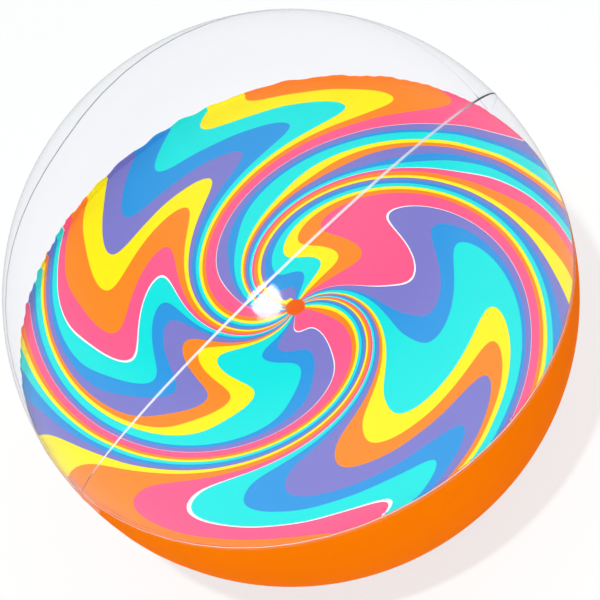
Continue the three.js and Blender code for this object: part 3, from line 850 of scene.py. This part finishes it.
right, up, back = cameraAxes()
focalPixels = camera["ballPixels"] * np.sqrt(camera["distance"] ** 2 - 1)
aside = (np.array(camera["ballAt"]) - camera["picture"] / 2) / focalPixels * camera["distance"]
eye = ballCentre + ballRadius * (back * camera["distance"] - right * aside[0] + up * aside[1])
lens = bpy.data.cameras.new("photo_camera")
lens.sensor_width = camera["sensor"]
lens.lens = focalPixels / camera["picture"] * camera["sensor"]
lens.clip_start, lens.clip_end = camera["clip"]
eyePiece = bpy.data.objects.new("photo_camera", lens)
eyePiece.matrix_world = placeMatrix([right, up, back], eye)
bpy.context.scene.collection.objects.link(eyePiece)
bpy.context.scene.camera = eyePiece


# Floor and light

floor = dict(half=6.0, colour="#F4FCFD", roughness=0.9, seenWhite=0.75)
corners = np.array([[-1, -1, 0], [1, -1, 0], [1, 1, 0], [-1, 1, 0]]) * floor["half"]
floorMaterial, tree = newMaterial("matt_white_floor")
paper = addNode(tree, "ShaderNodeBsdfDiffuse", {
    "Color": hexLinear(floor["colour"]), "Roughness": floor["roughness"],
}).outputs[0]
white = addNode(tree, "ShaderNodeEmission", {"Color": (1, 1, 1, 1), "Strength": 1.0}).outputs[0]
ray = addNode(tree, "ShaderNodeLightPath").outputs
seen = addNode(tree, "ShaderNodeMath", {
    0: ray["Is Camera Ray"], 1: ray["Is Glossy Ray"],
}, operation="MAXIMUM").outputs[0]
seen = addNode(tree, "ShaderNodeMath", {0: seen, 1: ray["Is Transmission Ray"]}, operation="MAXIMUM").outputs[0]
share = addNode(tree, "ShaderNodeMath", {0: seen, 1: floor["seenWhite"]}, operation="MULTIPLY").outputs[0]
ground = addNode(tree, "ShaderNodeMixShader", {0: share, 1: paper, 2: white}).outputs[0]
addNode(tree, "ShaderNodeOutputMaterial", {"Surface": ground})
groundPiece = putMesh("floor", corners, np.array([[0, 1, 2, 3]]), [floorMaterial])

# Light linking: the soft lamps leave the floor to one small lamp, which draws the shadow there
floorOnly = bpy.data.collections.new("floor_only")
floorOnly.objects.link(groundPiece)
allButFloor = bpy.data.collections.new("all_but_floor")
allButFloor.objects.link(groundPiece)
allButFloor.collection_objects[0].light_linking.link_state = "EXCLUDE"

lamps = [  # direction in the camera's right, up and back, distance and size in metres, and radiance
    dict(name="front_softbox", toward=(-0.157, -0.034, 0.987), distance=2.1, size=0.43, radiance=23.0,
         mirrored=True, lights=allButFloor),  # the one lamp that gloss shows
    dict(name="left_softbox", toward=(-0.9, 0.1, 0.42), distance=2.2, size=0.7, radiance=14.5,
         mirrored=False, lights=allButFloor),
    dict(name="low_softbox", toward=(0.15, -0.42, 0.85), distance=2.2, size=0.9, radiance=9.5,
         mirrored=False, lights=allButFloor),
    dict(name="back_softbox", toward=(-0.383, 0.798, -0.466), distance=2.2, size=0.9, radiance=16.0,
         mirrored=False, lights=allButFloor),
    dict(name="floor_lamp", toward=(-0.195, 0.204, 0.959), distance=4.0, size=0.14, radiance=2000.0,
         mirrored=False, lights=floorOnly),
]
for lamp in lamps:
    toward = lamp["toward"][0] * right + lamp["toward"][1] * up + lamp["toward"][2] * back
    toward = toward / np.linalg.norm(toward)
    side = np.cross(up, toward)
    side = side / np.linalg.norm(side)
    rise = np.cross(toward, side)
    light = bpy.data.lights.new(lamp["name"], "AREA")
    light.shape = "DISK"
    light.size = lamp["size"]
    light.energy = lamp["radiance"] * np.pi * np.pi * lamp["size"] ** 2 / 4  # watts of an even disc
    lampPiece = bpy.data.objects.new(lamp["name"], light)
    spot = ballCentre + toward * lamp["distance"]
    lampPiece.matrix_world = placeMatrix([side, rise, toward], spot)
    lampPiece.visible_camera = False
    lampPiece.visible_glossy = lamp["mirrored"]
    lampPiece.light_linking.receiver_collection = lamp["lights"]
    bpy.context.scene.collection.objects.link(lampPiece)

room = dict(  # walls that are bright low down and dim high up, and a bright soft patch overhead
    toward=(-0.1, 0.759, 0.649), low=0.8, high=0.1, wallTop=0.5, ceiling=0.7, fade=(0.42, 0.99),
)
overhead = room["toward"][0] * right + room["toward"][1] * up + room["toward"][2] * back
world = bpy.data.worlds.new("soft_room")
world.use_nodes = True
tree = world.node_tree
tree.nodes.clear()
gaze = addNode(tree, "ShaderNodeTexCoord").outputs["Generated"]
lean = addNode(tree, "ShaderNodeVectorMath", {
    0: gaze, 1: overhead.tolist(),
}, operation="DOT_PRODUCT").outputs["Value"]
patchLevel = addNode(tree, "ShaderNodeMapRange", {
    "Value": lean, "From Min": room["fade"][0], "From Max": room["fade"][1],
    "To Min": 0.0, "To Max": room["ceiling"],
}, interpolation_type="SMOOTHSTEP").outputs[0]
height = addNode(tree, "ShaderNodeSeparateXYZ", {0: gaze}).outputs["Z"]
wallLevel = addNode(tree, "ShaderNodeMapRange", {
    "Value": height, "From Min": 0.0, "From Max": room["wallTop"],
    "To Min": room["low"], "To Max": room["high"],
}, interpolation_type="SMOOTHSTEP").outputs[0]
level = addNode(tree, "ShaderNodeMath", {0: patchLevel, 1: wallLevel}, operation="ADD").outputs[0]
sky = addNode(tree, "ShaderNodeBackground", {"Color": (1, 1, 1, 1), "Strength": level}).outputs[0]
addNode(tree, "ShaderNodeOutputWorld", {"Surface": sky})
bpy.context.scene.world = world
bpy.context.scene.view_settings.view_transform = "Standard"
print("camera and light: set")
